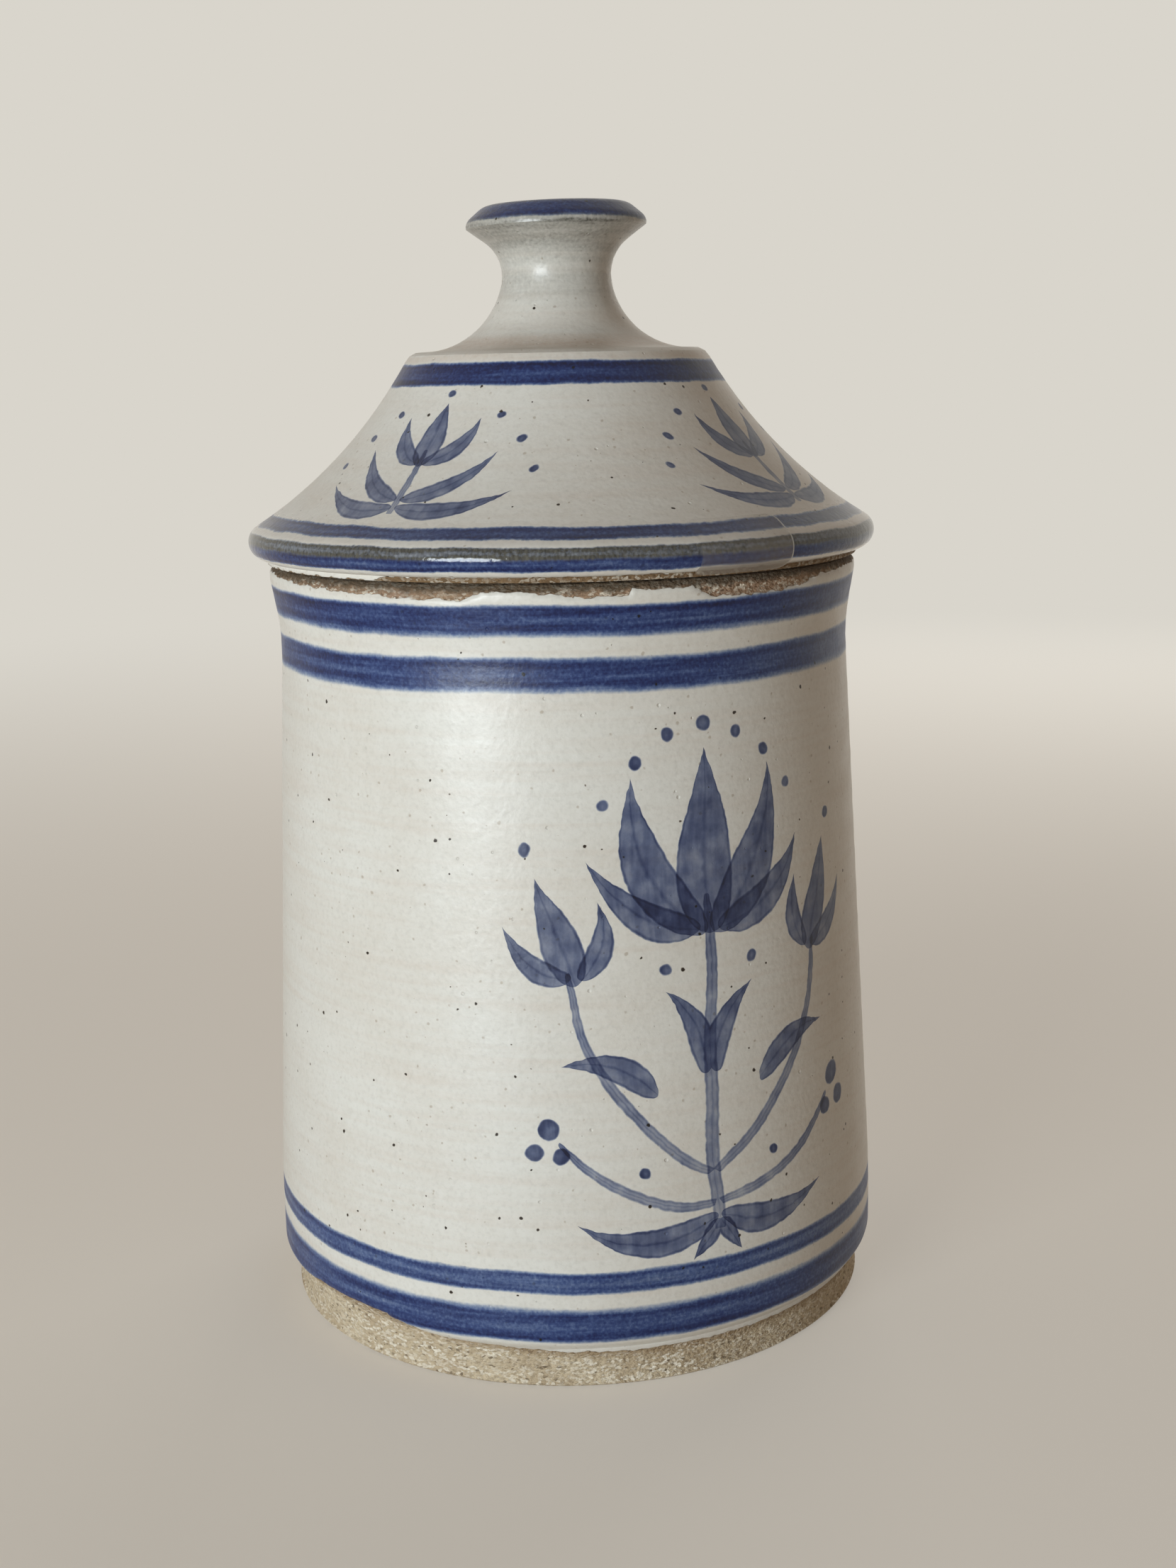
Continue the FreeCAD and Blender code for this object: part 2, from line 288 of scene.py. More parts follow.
def specks(tree, place, apart, widest):
    """Specks up to widest mm in radius, one to a cell apart mm wide: 0 outside, rising to 1 inside."""
    near = add(tree, "TexVoronoi", {"Vector": place, "Scale": 1 / apart})
    lot = add(tree, "SeparateColor", {0: near.node.outputs["Color"]})
    reach = add(tree, "Math", {0: lot, 1: MOSTLY_SMALL}, operation="POWER")
    reach = add(tree, "Math", {0: reach, 1: widest / apart}, operation="MULTIPLY")
    core = add(tree, "Math", {0: reach, 1: 0.5}, operation="MULTIPLY")
    return add(tree, "MapRange", {0: near, 1: reach, 2: core})


# A satin tin-white glaze over an iron-bearing clay. It lies pinkish buff where it is thin over a throwing
# line, and iron from the clay burns through it as brown-black specks with a tan halo.
GLAZE = colour("#dddcd5")
GLAZE_CLOUD = colour("#d2ccc1")
GLAZE_THIN = colour("#c3ab96")
GLAZE_PALE = colour("#edece8")
GLAZE_GREY = colour("#b4b0a8")
IRON_HALO = colour("#8c7352")
IRON = colour("#2a2019")
CLOUD_SIZE = 24.0
CLOUD_STRENGTH = 0.6
LINE_SIZE = 7.0
LINE_DRAWN_OUT = (6, 6, 0.24)
LINE_STRENGTH = 0.5
PEEL_SIZE = 1.5
PEEL_HEIGHT = 0.035
PEEL_PALE = 0.22
GREY_SIZE = 0.8
GREY_STRENGTH = 0.22
RAGGED = (0.5, 0.5, 0.5)
FAINT_SPECKS = (2.2, 0.46)
FAINT_STRENGTH = 0.42
DARK_SPECKS = (3.7, 0.5)
HALO_STRENGTH = 0.45
PINHOLES = (3.6, 0.45)
PINHOLE_DEPTH = 0.12


def cream_glaze(tree, place, thin):
    """The glaze's colour and the height of its surface in mm, buff where the share thin is high."""
    clouds = patches(tree, place, CLOUD_SIZE, 0.0, CLOUD_STRENGTH, detail=3.0)
    base = add(tree, "Mix", {0: clouds, 6: GLAZE, 7: GLAZE_CLOUD}, 2, data_type="RGBA")
    lines = patches(tree, place, LINE_SIZE, -0.25, 0.4, 0.25, LINE_DRAWN_OUT, 3.0)
    lines = {0: lines, 1: LINE_STRENGTH, 2: thin}
    lines = add(tree, "Math", lines, operation="MULTIPLY_ADD", use_clamp=True)
    base = add(tree, "Mix", {0: lines, 6: base, 7: GLAZE_THIN}, 2, data_type="RGBA")
    peel = patches(tree, place, PEEL_SIZE, detail=3.0)
    pale = add(tree, "Math", {0: peel, 1: PEEL_PALE}, operation="MULTIPLY")
    base = add(tree, "Mix", {0: pale, 6: base, 7: GLAZE_PALE}, 2, data_type="RGBA")
    grey = patches(tree, place, GREY_SIZE, -0.2, GREY_STRENGTH, 0.28, detail=1.0)
    base = add(tree, "Mix", {0: grey, 6: base, 7: GLAZE_GREY}, 2, data_type="RGBA")
    ragged = add(tree, "TexNoise", {"Vector": place, "Scale": 1.1, "Detail": 1.0}, "Color")
    ragged = add(tree, "VectorMath", {0: ragged, 1: RAGGED, 2: place}, operation="MULTIPLY_ADD")
    faint = specks(tree, ragged, *FAINT_SPECKS)
    faint = add(tree, "Math", {0: faint, 1: FAINT_STRENGTH}, operation="MULTIPLY")
    base = add(tree, "Mix", {0: faint, 6: base, 7: IRON_HALO}, 2, data_type="RGBA")
    dark = specks(tree, ragged, *DARK_SPECKS)
    halo = add(tree, "Math", {0: dark, 1: 3.0}, operation="MULTIPLY", use_clamp=True)
    halo = add(tree, "Math", {0: halo, 1: HALO_STRENGTH}, operation="MULTIPLY")
    base = add(tree, "Mix", {0: halo, 6: base, 7: IRON_HALO}, 2, data_type="RGBA")
    core = add(tree, "MapRange", {0: dark, 1: 0.2, 2: 0.6})
    base = add(tree, "Mix", {0: core, 6: base, 7: IRON}, 2, data_type="RGBA")
    pits = specks(tree, place, *PINHOLES)
    relief = add(tree, "Math", {0: peel, 1: PEEL_HEIGHT}, operation="MULTIPLY")
    return base, add(tree, "Math", {0: pits, 1: -PINHOLE_DEPTH, 2: relief}, operation="MULTIPLY_ADD")


# Cobalt absorbs red most and blue least, so a thin wash is pale blue grey and a pool of it is navy.
# The bands were laid on the wheel with a loaded brush. The flowers' cobalt was let down with iron,
# which greys it.
BAND_ABSORBS = (2.75, 2.18, 1.15)
FLOWER_ABSORBS = (2.45, 2.15, 1.38)
DEEPEST = 3.6
WASH_STEPS = 14
BAND_SWAY = 45.0
BAND_FRAY = ((9.0, 0.16), (0.9, 0.07))
POOLED_MIDDLE = 0.8
POOLED_EDGE = 1.15
BRUSHED_LINE = 1.1
FRECKLE = 0.65
STEM_INK = 0.62
STEM_HEAD = 0.06
STEM_TIP = 0.22
PETAL_INK = 1.0
DOT_INK = 1.1
BRISTLE_MARK = 1.3
BLOT = 4.0
HAND_WANDERS = (26.0, 7.0)
HAND_TREMBLES = (2.0, 0.6)


def washed(tree, ink, absorbs):
    """What a layer of pigment lets through, where an ink of 1 is one loaded stroke of the brush."""
    share = add(tree, "Math", {0: ink, 1: 1 / DEEPEST}, operation="MULTIPLY")
    inks = [DEEPEST * step / WASH_STEPS for step in range(WASH_STEPS + 1)]
    stops = [(ink / DEEPEST, [math.exp(-k * ink) for k in absorbs] + [1.0]) for ink in inks]
    stops = [stops[0], stops[-1], *stops[1:-1]]
    return add(tree, "ValToRGB", {0: share}, stops=stops)


def banded(tree, place, bands, wander):
    """Ink of bands brushed on the turning pot, in mm up the pot.

    Each band is (lowest, highest, softness of its lower edge, of its upper edge, strength). The glaze has
    carried the pigment a little way, so its edges are soft and freckled, and it has pooled along them.
    """
    sway = patches(tree, place, BAND_SWAY, -wander, wander, stretch=(1, 1, 4), detail=1.0)
    height = add(tree, "SeparateXYZ", {0: place}, "Z")
    height = add(tree, "Math", {0: sway, 1: height}, operation="ADD")
    for size, reach in BAND_FRAY:
        fray = patches(tree, place, size, -reach, reach)
        height = add(tree, "Math", {0: fray, 1: height}, operation="ADD")
    ink = 0.0
    for low, high, low_soft, high_soft, strength in bands:
        rise = {0: height, 1: low - low_soft, 2: low + low_soft, 4: strength}
        fall = {0: height, 1: high + high_soft, 2: high - high_soft}
        rise = add(tree, "MapRange", rise, interpolation_type="SMOOTHSTEP")
        fall = add(tree, "MapRange", fall, interpolation_type="SMOOTHSTEP")
        away = add(tree, "Math", {0: height, 1: (low + high) / 2}, operation="SUBTRACT")
        away = add(tree, "Math", {0: away}, operation="ABSOLUTE")
        half = (high - low) / 2
        pooled = {0: away, 1: half * 0.15, 2: half * 0.8, 3: POOLED_MIDDLE, 4: POOLED_EDGE}
        pooled = add(tree, "MapRange", pooled)
        cover = add(tree, "Math", {0: rise, 1: fall}, operation="MULTIPLY")
        ink = add(tree, "Math", {0: cover, 1: pooled, 2: ink}, operation="MULTIPLY_ADD")
    load = patches(tree, place, BRUSHED_LINE, 0.72, 1.28, stretch=(20, 20, 1), detail=3.0)
    freckles = patches(tree, place, FRECKLE, 0.74, 1.26, 0.22)
    ink = add(tree, "Math", {0: ink, 1: load}, operation="MULTIPLY")
    return add(tree, "Math", {0: ink, 1: freckles}, operation="MULTIPLY")


def stroke(tree, place, ink, start, lean, length, width, bend, strength, head=0.55, tip=1.15):
    """Adds one stroke of a loaded brush to the ink, in mm on the unrolled surface.

    It starts at a point, leans that many degrees up from the right, arches aside by bend at its middle,
    swells to width and runs out to a point. Its ink pools along its edges and down its middle.
    """
    fullest = (head / (head + tip)) ** head * (tip / (head + tip)) ** tip
    across = width / 2 / fullest
    frame_of_stroke = {
        "Vector": place,
        "Location": (*start, 0),
        "Rotation": (0, 0, math.radians(lean)),
        "Scale": (length, across, 1),
    }
    local = add(tree, "Mapping", frame_of_stroke, vector_type="TEXTURE")
    along = add(tree, "SeparateXYZ", {0: local})
    rest = add(tree, "Math", {0: 1.0, 1: along}, operation="SUBTRACT")
    arch = add(tree, "Math", {0: along, 1: rest}, operation="MULTIPLY")
    aside = along.node.outputs[1]
    aside = add(tree, "Math", {0: arch, 1: -4 * bend / across, 2: aside}, operation="MULTIPLY_ADD")
    aside = add(tree, "Math", {0: aside}, operation="ABSOLUTE")
    swell = add(tree, "Math", {0: along, 1: head}, operation="POWER")
    taper = add(tree, "Math", {0: rest, 1: tip}, operation="POWER")
    half = add(tree, "Math", {0: swell, 1: taper}, operation="MULTIPLY")
    depth = add(tree, "MapRange", {0: aside, 1: half, 2: 0.0})
    soft = min(0.4, 0.4 / (width / 2))
    shades = ((0.0, 0.0), (1.0, 1.1), (soft, 1.12), (min(0.7, 2.2 * soft), 0.72), (0.86, 0.80))
    laid = add(tree, "ValToRGB", {0: depth}, stops=[(at, (shade, shade, shade, 1)) for at, shade in shades])
    fuller = add(tree, "MapRange", {0: along, 1: 0.0, 2: 1.0, 3: strength * 0.82, 4: strength * 1.18})
    return add(tree, "Math", {0: laid, 1: fuller, 2: ink}, operation="MULTIPLY_ADD")


def dot(tree, place, ink, centre, radius, strength):
    """Adds a round dot of the brush's tip to the ink, darkest at its rim."""
    away = add(tree, "VectorMath", {0: place, 1: (*centre, 0)}, "Value", operation="DISTANCE")
    inside = {0: away, 1: radius + 0.2, 2: radius - 0.3, 4: strength}
    laid = add(tree, "MapRange", inside, interpolation_type="SMOOTHSTEP")
    rim = add(tree, "MapRange", {0: away, 1: 0.0, 2: radius, 3: 0.8, 4: 1.15})
    return add(tree, "Math", {0: laid, 1: rim, 2: ink}, operation="MULTIPLY_ADD")


def unrolled(tree, place, bearing, copies, base, rise):
    """The surface unrolled in mm about a bearing, with the right half folded over the left.

    The design is painted that many times round the pot. Its foot is at the base height, and rise is how
    far the surface goes for each mm of height. A wandering hand keeps the two halves from being alike.
    """
    turned = add(tree, "Mapping", {"Vector": place, "Rotation": (0, 0, math.radians(-bearing))})
    x, y, z = add(tree, "SeparateXYZ", {0: turned}).node.outputs
    back = add(tree, "Math", {0: y, 1: -1.0}, operation="MULTIPLY")
    turn = add(tree, "Math", {0: x, 1: back}, operation="ARCTAN2")
    half = math.pi / copies
    turn = add(tree, "Math", {0: turn, 1: half, 2: -half}, operation="WRAP")
    flat = add(tree, "VectorMath", {0: place, 1: (1, 1, 0)}, operation="MULTIPLY")
    reach = add(tree, "VectorMath", {0: flat}, "Value", operation="LENGTH")
    across = add(tree, "Math", {0: turn, 1: reach}, operation="MULTIPLY")
    up = add(tree, "Math", {0: z, 1: base}, operation="SUBTRACT")
    up = add(tree, "Math", {0: up, 1: rise}, operation="MULTIPLY")
    spot = add(tree, "CombineXYZ", {0: across, 1: up})
    for size, drift in ((HAND_WANDERS[0], HAND_WANDERS[1] / copies), HAND_TREMBLES):
        hand = add(tree, "TexNoise", {"Vector": place, "Scale": 1 / size, "Detail": 1.0}, "Color")
        hand = add(tree, "VectorMath", {0: hand, 1: (-0.5, -0.5, 0)}, operation="ADD")
        spot = add(tree, "VectorMath", {0: hand, 1: (drift, drift, 0), 2: spot}, operation="MULTIPLY_ADD")
    across, up, _ = add(tree, "SeparateXYZ", {0: spot}).node.outputs
    across = add(tree, "Math", {0: across}, operation="ABSOLUTE")
    return add(tree, "CombineXYZ", {0: across, 1: up})


def painted(tree, place, spot, stems, petals, dots):
    """Ink of a design of stems, petal and leaf strokes and dots, streaked and blotted as brushwork is."""
    ink = 0.0
    for start, lean, length, width, bend in stems:
        ink = stroke(tree, spot, ink, start, lean, length, width, bend, STEM_INK, STEM_HEAD, STEM_TIP)
    for start, lean, length, width, bend in petals:
        ink = stroke(tree, spot, ink, start, lean, length, width, bend, PETAL_INK)
    for centre, radius in dots:
        ink = dot(tree, spot, ink, centre, radius, DOT_INK)
    streaks = patches(tree, spot, BRISTLE_MARK, 0.84, 1.16, stretch=(1, 12, 1), detail=3.0)
    blots = patches(tree, place, BLOT, 0.68, 1.32, detail=4.0)
    ink = add(tree, "Math", {0: ink, 1: streaks}, operation="MULTIPLY")
    return add(tree, "Math", {0: ink, 1: blots}, operation="MULTIPLY")


# Bare stoneware clay full of grog, pale buff where the fire reached it and toasted brown beside the glaze.
CLAY_TONE = colour("#957957")
CLAY_GRIT = colour("#735c43")
PALE_GRAIN = colour("#efe7d6")
IRON_GRAIN = colour("#4a3a29")
# A dark brown: grime on the lid's bare edge, and painted shade under the lid's edge on the jar's rim.
GRIME_AND_SHADE = colour("#453a2b")
TOASTED = colour("#866a49")
TONE_SIZE = 11.0
GRIT_SIZE = 0.55
GRIT_HEIGHT = 0.36
GRAIN_OF_GROG = 0.75
GRAIN_FLATTENED = 1.7
GRAIN_HEIGHT = 0.20
FLAKY_PATCH = 2.2
CLAY_ROUGHNESS = 0.75


def bare_clay(tree, place, body, grime_and_shade):
    """The bare clay's colour and the height of its surface in mm: stoneware full of grog.

    Wiping the clay on the wheel has drawn its grain out sideways. The grog's grains are mostly under 0.5 mm,
    and are drawn a little coarser so that they show.
    """
    tone = patches(tree, place, TONE_SIZE, 0.0, 0.5, detail=4.0)
    base = add(tree, "Mix", {0: tone, 6: body, 7: CLAY_TONE}, 2, data_type="RGBA")
    sideways = (GRAIN_FLATTENED, GRAIN_FLATTENED, 1)
    grit = patches(tree, place, GRIT_SIZE, 0.0, 1.0, 0.24, sideways, 3.0)
    shade = add(tree, "MapRange", {0: grit, 1: 0.45, 2: 1.0, 4: 0.48})
    base = add(tree, "Mix", {0: shade, 6: base, 7: CLAY_GRIT}, 2, data_type="RGBA")
    drawn = add(tree, "VectorMath", {0: place, 1: (1, 1, GRAIN_FLATTENED)}, operation="MULTIPLY")
    lumps = add(tree, "TexVoronoi", {"Vector": drawn, "Scale": 1 / GRAIN_OF_GROG}, "Color")
    lot = add(tree, "SeparateColor", {0: lumps})
    flaky = patches(tree, place, FLAKY_PATCH, 0.2, 1.0, stretch=(5, 5, 1))
    pale = add(tree, "MapRange", {0: lot, 1: 0.56, 2: 0.82, 4: flaky})
    base = add(tree, "Mix", {0: pale, 6: base, 7: PALE_GRAIN}, 2, data_type="RGBA")
    dark = add(tree, "MapRange", {0: lot, 1: 0.05, 2: 0.02, 4: 0.6})
    base = add(tree, "Mix", {0: dark, 6: base, 7: IRON_GRAIN}, 2, data_type="RGBA")
    # The clay darkens towards that brown: painted shade on the jar's rim under the lid's edge, grime on the
    # lid.
    base = add(tree, "Mix", {0: grime_and_shade, 6: base, 7: GRIME_AND_SHADE}, 2, data_type="RGBA")
    relief = add(tree, "Math", {0: lot, 1: GRAIN_HEIGHT}, operation="MULTIPLY")
    return base, add(tree, "Math", {0: grit, 1: GRIT_HEIGHT, 2: relief}, operation="MULTIPLY_ADD")


GLAZE_IOR = 1.44
WORN_AND_SHADE_DARK = colour("#312f29")
WORN_AND_SHADE_PALE = colour("#5f5d55")
WORN_AND_SHADE_PATCH = 0.6
RAGGED_EDGE_SIZE = 2.4
RAGGED_EDGE_BY = 0.35
EDGE_SOFTNESS = 0.06
TOASTED_WITHIN = (2.2, 0.3)


def stoneware(name, paint, fired, gloss):
    """Glazed stoneware: satin glaze over painted cobalt, and rough clay where it is bare.

    paint(tree, place) gives the bands' ink, the flowers' ink, how far the glaze is worn grey, and how thin
    it is. On the lid's neck the worn grey is partly painted shade under the knob.
    fired(tree, place) gives the clay's body colour, how far grime and painted shade darken it, and how brown
    it is toasted beside the glaze.
    The satin glaze has a soft highlight, sharper where handling has polished it as gloss(tree, place) says.
    Bare clay has hardly any.
    """
    material = bpy.data.materials.new(name)
    material.use_nodes = True
    tree = material.node_tree
    place = add(tree, "TexCoord", output="Object")
    place = add(tree, "VectorMath", {0: place, "Scale": 1 / MM}, operation="SCALE")
    bands, flowers, worn_and_shade, thin = paint(tree, place)
    glaze, glaze_relief = cream_glaze(tree, place, thin)
    for ink, absorbs in ((bands, BAND_ABSORBS), (flowers, FLOWER_ABSORBS)):
        wash = {0: 1.0, 6: glaze, 7: washed(tree, ink, absorbs)}
        glaze = add(tree, "Mix", wash, 2, data_type="RGBA", blend_type="MULTIPLY")
    # Worn glaze mottles dark grey; on the lid's neck the same grey is partly painted shade under the knob.
    worn_and_shade_patches = patches(tree, place, WORN_AND_SHADE_PATCH, 0.0, 1.0, 0.22, (1, 1, 2.4))
    worn_and_shade_tone = add(tree, "Mix", {0: worn_and_shade_patches, 6: WORN_AND_SHADE_DARK, 7: WORN_AND_SHADE_PALE}, 2, data_type="RGBA")
    glaze = add(tree, "Mix", {0: worn_and_shade, 6: glaze, 7: worn_and_shade_tone}, 2, data_type="RGBA")

    edge = add(tree, "Attribute", output="Fac", attribute_name="bare_mm")
    ragged = patches(tree, place, RAGGED_EDGE_SIZE, -RAGGED_EDGE_BY, RAGGED_EDGE_BY)
    edge = add(tree, "Math", {0: edge, 1: ragged}, operation="ADD")
    bare_share = add(tree, "MapRange", {0: edge, 1: -EDGE_SOFTNESS, 2: EDGE_SOFTNESS})
    body, grime_and_shade, toast = fired(tree, place)
    clay, clay_relief = bare_clay(tree, place, body, grime_and_shade)
    toasted = {0: edge, 1: TOASTED_WITHIN[0], 2: TOASTED_WITHIN[1], 4: toast}
    toasted = add(tree, "MapRange", toasted)
    clay = add(tree, "Mix", {0: toasted, 6: clay, 7: TOASTED}, 2, data_type="RGBA")
    shade = add(tree, "Mix", {0: bare_share, 6: glaze, 7: clay}, 2, data_type="RGBA")
    relief = add(tree, "Mix", {0: bare_share, 2: glaze_relief, 3: clay_relief})
    rough = add(tree, "Mix", {0: bare_share, 2: gloss(tree, place), 3: CLAY_ROUGHNESS})
    shader = tree.nodes["Principled BSDF"]
    surface = {
        "Base Color": shade,
        "Roughness": rough,
        "Normal": add(tree, "Bump", {"Height": relief, "Distance": MM, "Strength": 1.0}),
    }
    for socket, source in surface.items():
        tree.links.new(source, shader.inputs[socket])
    shader.inputs["IOR"].default_value = GLAZE_IOR
    return material


def measured(piece, name, values):
    """Keeps one number for each vertex, for the piece's material to read."""
    attribute = piece.data.attributes.new(name, "FLOAT", "POINT")
    attribute.data.foreach_set("value", values.astype(np.float32))


JAR_BANDS = (
    (155.3, 160.4, 1.2, 0.7, 1.55),
    (144.4, 150.0, 1.2, 0.9, 1.45),
    (22.1, 26.2, 0.55, 0.6, 1.08),
    (11.6, 17.9, 0.7, 1.2, 1.3),
)
JAR_BAND_WANDER = 0.4
JAR_SKIN = (0.05, 66.0, 67.5)
FOOT_CLAY = colour("#d6c7ab")
RIM_CLAY = colour("#aa8e78")
FOOT_TOAST = 0.62
RIM_TOAST = 0.1
# Between these heights the rim's top is darkened as painted shade under the lid's edge.
RIM_SHADE_LEVELS = (162.5, 163.7)
RIM_SHADE_STRENGTH = 0.88
GLOSS_PATCH = 6.0
JAR_SATIN = (0.33, 0.42)
BOUQUET_BEARING = 25.0
BOUQUET_FOOT = 34.0
BOUQUET_STEMS = (
    ((0, -2), 90, 70, 3.4, 0), ((0.6, 11), 57, 52, 2.7, -7), ((0.6, 4), 26, 36, 2.4, -4),
)
BOUQUET_PETALS = (
    ((0, 60), 90, 37, 13, 0), ((1.2, 60), 66, 36, 10.5, -4.5), ((2, 61), 36, 27, 7.5, -4),
    ((27.5, 52), 74, 23, 8, 0), ((26.5, 53), 104, 16, 5.5, 2.5), ((28.5, 53), 42, 17, 5.5, -2.5),
    ((0.8, 32), 62, 20, 6.0, 2.5), ((12, 28), 22, 21, 6.5, 3), ((0.4, 1), 2, 29, 6.5, -3.5),
    ((0, 0), -52, 9, 4, 0),
)
BOUQUET_DOTS = (
    ((35, 23), 2.3), ((38, 18), 1.9), ((32.5, 17), 1.8), ((0, 102), 1.5), ((8, 100), 1.3),
    ((15, 95.5), 1.2), ((21, 88), 1.1), ((36, 79), 1.2), ((15, 12), 1.1), ((10, 54), 1.1),
)


def outside_only(tree, place, inks, lean, hidden, shown):
    """The inks where radius plus lean times height, in mm, is past the middle of the wall."""
    flat = add(tree, "VectorMath", {0: place, 1: (1, 1, 0)}, operation="MULTIPLY")
    reach = add(tree, "VectorMath", {0: flat}, "Value", operation="LENGTH")
    height = add(tree, "SeparateXYZ", {0: place}, "Z")
    skin = add(tree, "Math", {0: height, 1: lean, 2: reach}, operation="MULTIPLY_ADD")
    outer = add(tree, "MapRange", {0: skin, 1: hidden, 2: shown})
    return [add(tree, "Math", {0: ink, 1: outer}, operation="MULTIPLY") for ink in inks]


def jar_paint(tree, place):
    """Two bands below the rim, two above the foot, and a bouquet on the front and back of the wall."""
    bands = banded(tree, place, JAR_BANDS, JAR_BAND_WANDER)
    spot = unrolled(tree, place, BOUQUET_BEARING, 2, BOUQUET_FOOT, 1.0)
    flowers = painted(tree, place, spot, BOUQUET_STEMS, BOUQUET_PETALS, BOUQUET_DOTS)
    return *outside_only(tree, place, (bands, flowers), *JAR_SKIN), 0.0, 0.0


def jar_fired(tree, place):
    """The foot fired pale buff and the rim's chips are pinker. The rim's top is darkened under the lid's
    edge as painted shade.
    """
    height = add(tree, "SeparateXYZ", {0: place}, "Z")
    up = add(tree, "MapRange", {0: height, 1: 60.0, 2: 120.0})
    body = add(tree, "Mix", {0: up, 6: FOOT_CLAY, 7: RIM_CLAY}, 2, data_type="RGBA")
    uneven = patches(tree, place, 2.0, -0.5, 0.5)
    height = add(tree, "Math", {0: height, 1: uneven}, operation="ADD")
    toast = add(tree, "MapRange", {0: up, 3: FOOT_TOAST, 4: RIM_TOAST})
    # The rim's top darkens under the lid's edge: painted shade of the lid.
    rim_shade = {0: height, 1: RIM_SHADE_LEVELS[0], 2: RIM_SHADE_LEVELS[1], 4: RIM_SHADE_STRENGTH}
    return body, add(tree, "MapRange", rim_shade), toast


def jar_gloss(tree, place):
    """The jar's satin varies a little from patch to patch."""
    return patches(tree, place, GLOSS_PATCH, *JAR_SATIN)


measured(jar, "bare_mm", bare)
jar.data.materials.append(stoneware("cream_glazed_stoneware_jar", jar_paint, jar_fired, jar_gloss))
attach(jar, "jar")
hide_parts("jar")


# The lid: thrown upside down in one piece with its flange, then turned over for its neck and cupped knob.
# It is glazed like the jar, but for its seat, flange and lowest edge, which would stick in the kiln.
# Handling has worn the glaze grey along the bead and the knob's rim, and the knob sits a little askew.

LID_STEPS = 480
LID_ROWS = 1.6
BEAD_ROWS = 0.55
KNOB_ROWS = 0.7
HOLLOW_ROWS = 4.0
LID_GLAZE_EDGE = (
    (-180, 166.2), (-110, 165.9), (-90, 165.2), (-36, 165.2), (-31, 166.0), (-20, 166.25), (180, 166.2),
)
FLANGE_GLAZE_EDGE = 158.0
FLANGE_REACH = 58
FLANGE_ROOT = 172
FLANGE_BARE_BELOW = 168
FLANGE_INSIDE = ((155, 51.5), (165, 52.5), (172, 40))
BEAD_FROM = 60
BEAD_TOP = 176
HOLLOW_WALL = ((165, 55), (203, 28), (212, 5))
HOLLOW_TOP = 212
SHOULDER = 203
KNOB_FROM = 230
LID_RINGS = (2.9, 4.3, 7.1)
LID_RING_DEPTH = 0.09
LID_RING_CLIMB = 4.0
LID_RINGS_FADE_IN = (172, 178)
LID_RINGS_FADE_OUT = (235, 230)
KNOB_LEANS_OVER = (212, 234)
KNOB_ASIDE = 0.35
KNOB_DROOP = 0.3


def lid_spacing(radius, height):
    bead = (radius > BEAD_FROM) & (height < BEAD_TOP)
    knob = height > KNOB_FROM
    hollow = (radius < np.interp(height, *zip(*HOLLOW_WALL))) & (height < HOLLOW_TOP)
    return np.where(bead, BEAD_ROWS, np.where(knob, KNOB_ROWS, np.where(hollow, HOLLOW_ROWS, LID_ROWS)))


lid_rows = rows_along(traced("lid"), lid_spacing)
lid = thrown("glazed_lid", lid_rows, LID_STEPS)
radius, height, bearing = places(lid)
flange = radius < FLANGE_REACH
below_hollow = flange & (radius < np.interp(height, *zip(*FLANGE_INSIDE)))
underside = np.where(below_hollow, FLANGE_GLAZE_EDGE - height, FLANGE_BARE_BELOW - height)
lid_edge = np.interp(bearing, *np.array(LID_GLAZE_EDGE).T)
bare = np.where(flange & (height < FLANGE_ROOT), underside, lid_edge - height)
spiral = height + bearing / 360 * LID_RING_CLIMB
outside = ~flange | (height > SHOULDER)
ring_depth = np.where(outside, LID_RING_DEPTH, 0.0) * waves(spiral, LID_RINGS)
ring_depth *= eased(height, *LID_RINGS_FADE_IN)
ring_depth *= eased(height, *LID_RINGS_FADE_OUT)
askew = eased(height, *KNOB_LEANS_OVER)
aside = radius * np.sin(np.radians(bearing))
droop = KNOB_DROOP * askew * (1 - aside / radius.max(where=height > KNOB_FROM, initial=0))
reshape(lid, radius - ring_depth, height - droop, bearing, KNOB_ASIDE * askew)
measured(lid, "bare_mm", bare)

LID_BANDS = (
    (201.8, 205.8, 0.5, 0.5, 1.95),
    (173.4, 175.2, 0.35, 0.35, 1.65),
    (167.5, 169.7, 0.35, 0.5, 1.5),
    (169.6, 171.9, 0.4, 0.3, 0.5),
    (235.2, 242.0, 0.4, 0.5, 1.6),
)
# The first two bands are glaze worn grey on the bead and the knob's rim. The last two grey the neck and
# darken it under the knob: partly a greyer glaze, partly painted shade.
WORN_AND_SHADE_BANDS = (
    (169.8, 171.9, 0.5, 0.25, 1.0),
    (233.9, 235.4, 0.4, 0.45, 0.65),
    (214.0, 233.9, 4.0, 0.5, 0.32),
    (229.5, 233.9, 2.0, 0.5, 0.16),
)
THIN_BANDS = (
    (206.4, 207.6, 0.5, 0.5, 0.35),
    (209.0, 211.3, 0.8, 0.8, 0.5),
    (213.0, 215.6, 0.9, 0.9, 0.5),
)
LID_BAND_WANDER = 0.2
LID_SKIN = (0.85, 198.0, 200.0)
LID_CLAY = colour("#846849")
LID_GRIME = 0.3
LID_TOAST = 0.1
BEAD_SATIN = 0.12
CONE_SATIN = 0.36
KNOB_POLISH = -0.08
SATIN_VARIES = 0.03
POSY_BEARING = -35.0
POSY_FOOT = 177.8
CONE_RISE = 1.41
POSY_STEMS = (((0, -0.5), 90, 17, 1.9, 0),)
